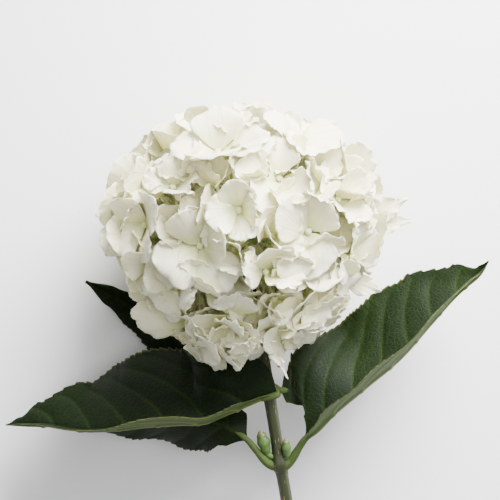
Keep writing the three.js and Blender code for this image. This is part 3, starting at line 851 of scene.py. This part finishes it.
def leaves():
    lower_right = Leaf(
        "lower_right_leaf", lower_node,
        lower_node + np.array([(15, 15, 6), (22, 20, 8), (33, 31, 9), (53, 48, 9), (72, 64, 8),
                               (92, 86, 5), (107, 102, 2), (120, 113, 2), (125, 121, 6)]),
        far_side=-1, near_side=1,
        far=half([(0, 1.6), (0.06, 12), (0.18, 43), (0.45, 46), (0.6, 43), (0.75, 33), (0.88, 15),
                  (0.95, 4), (1, 0.8)],
                 [(0, -15), (0.15, -18), (0.4, -45), (0.8, -40), (1, -20)], 0.12),
        near=half([(0, 1.6), (0.06, 12), (0.2, 32), (0.45, 37), (0.6, 34), (0.75, 26), (0.88, 13),
                   (0.95, 4), (1, 0.8)],
                  [(0, 62), (0.3, 73), (0.7, 77), (1, 72)], 0.05),
    )
    upper_left = Leaf(
        "upper_left_leaf", upper_node,
        upper_node + np.array([(5, -3, 11), (-4, -5, 12), (-20, -12, 12.5), (-37, -19, 13),
                               (-53, -20, 12), (-73, -22, 7), (-94, -25, 1), (-113, -26, -6),
                               (-134, -24, -13), (-160, -25, -19)]),
        far_side=1, near_side=1,
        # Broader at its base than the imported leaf, to cover the top of the stem.
        far=half([(0, 1.6), (0.012, 15), (0.035, 23), (0.09, 28), (0.17, 38), (0.3, 49), (0.45, 52),
                  (0.63, 46), (0.77, 32), (0.89, 14), (0.95, 5), (1, 0.8)],
                 [(0, 12), (0.14, -2), (0.32, -28), (0.7, -32), (1, -20)], -0.12),
        near=half([(0, 1.6), (0.08, 6), (0.16, 15), (0.3, 32), (0.48, 34), (0.62, 30), (0.76, 22),
                   (0.88, 11), (0.95, 4), (1, 0.8)],
                  [(0, 62), (0.3, 74), (0.7, 80), (1, 74)], 0.05),
    )
    lower_left = Leaf(
        "lower_left_leaf", lower_node,
        lower_node + np.array([(-20, 14, 5), (-29, 20, 6), (-39, 24, 5), (-51, 26, 2), (-69, 25, -4),
                               (-87, 23, -10), (-112, 21, -17), (-134, 21, -22)]),
        far_side=1, near_side=-1,
        far=half([(0, 1.6), (0.08, 14), (0.25, 30), (0.5, 30), (0.7, 22), (0.88, 10), (1, 0.8)],
                 [(0, -20), (0.2, -38), (1, -40)], 0),
        near=half([(0, 1.6), (0.08, 12), (0.25, 25), (0.45, 26), (0.65, 20), (0.85, 10), (1, 0.8)],
                  [(0, -20), (0.3, -36), (0.6, -52), (1, -50)], 0),
    )
    upper_back = Leaf(
        "upper_back_leaf", upper_node,
        head_centre + np.array([(2, -86, -43), (-14, -80, -57), (-34, -65, -64), (-64, -44, -64),
                                (-85, -31, -60), (-101, -22, -55)]),
        far_side=1, near_side=-1,
        far=half([(0, 1.6), (0.08, 12), (0.25, 18), (0.5, 14), (0.7, 10), (0.85, 6), (1, 0.8)],
                 [(0, -6), (1, 10)], 0),
        near=half([(0, 1.6), (0.08, 14), (0.25, 21), (0.5, 17), (0.7, 12), (0.85, 7), (1, 0.8)],
                  [(0, 10), (1, 12)], 0),
        rows=160, columns=20,
    )
    upper_right = Leaf(
        "upper_right_leaf", upper_node,
        upper_node + np.array([(8, -2, -5), (16, -1, -11), (27, 3, -22), (41, 9, -32), (57, 20, -41)]),
        far_side=-1, near_side=1,
        far=half([(0, 1.6), (0.05, 10), (0.2, 15), (0.45, 18), (0.7, 14), (0.9, 5), (1, 0.8)],
                 [(0, 0), (1, 0)], 0),
        near=half([(0, 1.6), (0.05, 8), (0.2, 12), (0.45, 17), (0.7, 14), (0.9, 5), (1, 0.8)],
                  [(0, 175), (1, 175)], 0),
        rows=120, columns=20,
    )
    for leaf in (lower_right, upper_left, lower_left, upper_back, upper_right):
        leaf.build(leaf_material)


# --- Stem and buds ---------------------------------------------------------------

def stem():
    shares = np.linspace(0, 1, 300)
    distances = np.concatenate([[0], np.cumsum(np.linalg.norm(np.diff(ring_centres, axis=0), axis=1))])
    distances /= distances[-1]
    radii = np.interp(shares, distances, ring_radii)
    radii[-1] = radii[-2]
    angles = np.arange(STEM_SIDES) * 2 * np.pi / STEM_SIDES
    twist = 0.02 * np.sin(angles * 2 + 3)[None] * np.sin(shares * 40)[:, None]
    ridges = 1 + 0.03 * np.cos(6 * angles)[None] + twist
    at_lower = np.exp(-(((shares - distances[ring_radii.argmax()]) / 0.006) ** 2))
    collar = 1 + 0.06 * at_lower[:, None] * (1 + 0.5 * np.cos(2 * angles)[None])
    shape = Shape()
    points, ways = stem_line.at(shares), stem_line.way(shares)
    vertices, quads, fans = tube(points, ways, radii[:, None] * ridges * collar, STEM_SIDES)
    rings = np.repeat(shares, STEM_SIDES)
    round_place = np.tile(np.abs(np.linspace(-1, 1, STEM_SIDES)), len(shares))
    mark = np.stack([rings, round_place, (rings > 0.9995).astype(float)], -1)
    mark = np.vstack([mark, [0, 0, 1], [1, 0, 1]])
    shape.add(vertices, quads, stem=mark)
    shape.faces.extend(fans)
    piece = shape.build("stem_bark", stem_material)
    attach(piece, "root")
    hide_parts("stem")


def bud(name):
    """A pointed bud of overlapping scales on a short stalk."""
    points = node_points(name)
    low = points[((points - lower_node) @ stem_way).argmax()]
    start = points[np.abs((points - low) @ stem_way) < 0.8].mean(axis=0)
    high = points[((points - lower_node) @ stem_way).argmin()]
    end = points[np.abs((points - high) @ stem_way) < 0.8].mean(axis=0)
    around = points - start
    axis = unit(end - start)
    width = np.linalg.norm(around - np.outer(around @ axis, axis), axis=1).max() * BUD_PLUMP
    beside = lower_node + stem_way * ((start - lower_node) @ stem_way)
    root = start + unit(beside - start) * 3.0 + stem_way * 3.0
    path = Line([root, start, start * 0.5 + end * 0.5, end], 60)
    shares = np.linspace(0, 1, 44)
    profile = eased([(0, 0.5), (0.2, 0.5), (0.38, 0.8), (0.62, 1.0), (0.84, 0.72), (0.95, 0.36), (1, 0.12)])
    sides = 24
    angles = np.arange(sides) * 2 * np.pi / sides
    scale = (shares[:, None] * 4 + 0.5 * np.cos(2 * angles)[None]) % 1.0
    radii = width * profile(shares)[:, None] * (1 + 0.1 * scale * smooth(shares, 0.25, 0.4)[:, None])
    shape = Shape()
    vertices, quads, fans = tube(path.at(shares), path.way(shares), radii, sides)
    seam = np.exp(-((scale / 0.12) ** 2)) * smooth(shares, 0.25, 0.4)[:, None]
    mark = np.stack([np.repeat(shares, sides), np.tile(angles, len(shares)), seam.ravel()], -1)
    shape.add(vertices, quads, stem=np.vstack([mark, [0, 0, 0], [1, 0, 0]]))
    shape.faces.extend(fans)
    piece = shape.build(name + "_scales", bud_material)
    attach(piece, "root")
    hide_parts(name)


# --- Floor, light and camera -----------------------------------------------------

def floor():
    mesh = bpy.data.meshes.new("floor")
    size = FLOOR_HALF
    corners = [(-size, -size, 0), (size, -size, 0), (size, size, 0), (-size, size, 0)]
    mesh.from_pydata(corners, [], [(0, 1, 2, 3)])
    f = Finish("pale_floor")
    mesh.materials.append(f.finish(f.mix(f.noise(3.0, 2.0), "#f0f0f0", "#ecedee"), 0.85))
    ground = bpy.data.objects.new("floor", mesh)
    bpy.context.scene.collection.objects.link(ground)


def area_light(name, place, target, size, power):
    light = bpy.data.lights.new(name, "AREA")
    light.shape, light.size = "DISK", size
    light.energy, light.spread = power, math.radians(LIGHT_SPREAD)
    lamp = bpy.data.objects.new(name, light)
    lamp.location = place
    way = np.asarray(target, float) - np.asarray(place, float)
    fall = math.acos(-way[2] / np.linalg.norm(way))
    lamp.rotation_euler = (fall, 0, math.atan2(way[1], way[0]) - math.pi / 2)
    bpy.context.scene.collection.objects.link(lamp)


def lights():
    world = bpy.data.worlds.new("studio")
    world.use_nodes = True
    world.node_tree.nodes["Background"].inputs[0].default_value = (0.97, 0.98, 1.0, 1)
    world.node_tree.nodes["Background"].inputs[1].default_value = SKY_STRENGTH
    bpy.context.scene.world = world
    beyond = head_centre * MM + LIGHT_TARGET
    area_light("key", (0.34, 0.80, 0.50), beyond, 0.7, 29.0)
    area_light("top", (0.45, 0.3, 1.2), beyond, 0.9, 4.5)


def camera():
    data = bpy.data.cameras.new("camera")
    data.sensor_width = SENSOR
    data.lens = SENSOR * CAMERA_DISTANCE / FRAME_WIDTH
    data.clip_end = 20
    eye = bpy.data.objects.new("camera", data)
    x, y, z = head_centre * MM
    eye.location = (x + VIEW_OFFSET[0], y + VIEW_OFFSET[1], z + CAMERA_DISTANCE)
    bpy.context.scene.collection.objects.link(eye)
    bpy.context.scene.camera = eye


sepal_material = sepal_finish()
leaf_material = leaf_finish("leaf", "#0b1705", "#23350f", "#434f29")
stem_material = stem_finish()
bud_material = bud_finish()
ray_material = ray_finish()

camera()
lights()
floor()
florets()
leaves()
stem()
bud("left_bud")
bud("right_bud")
for name in ray_nodes:
    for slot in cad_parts[name].material_slots:
        slot.material = ray_material
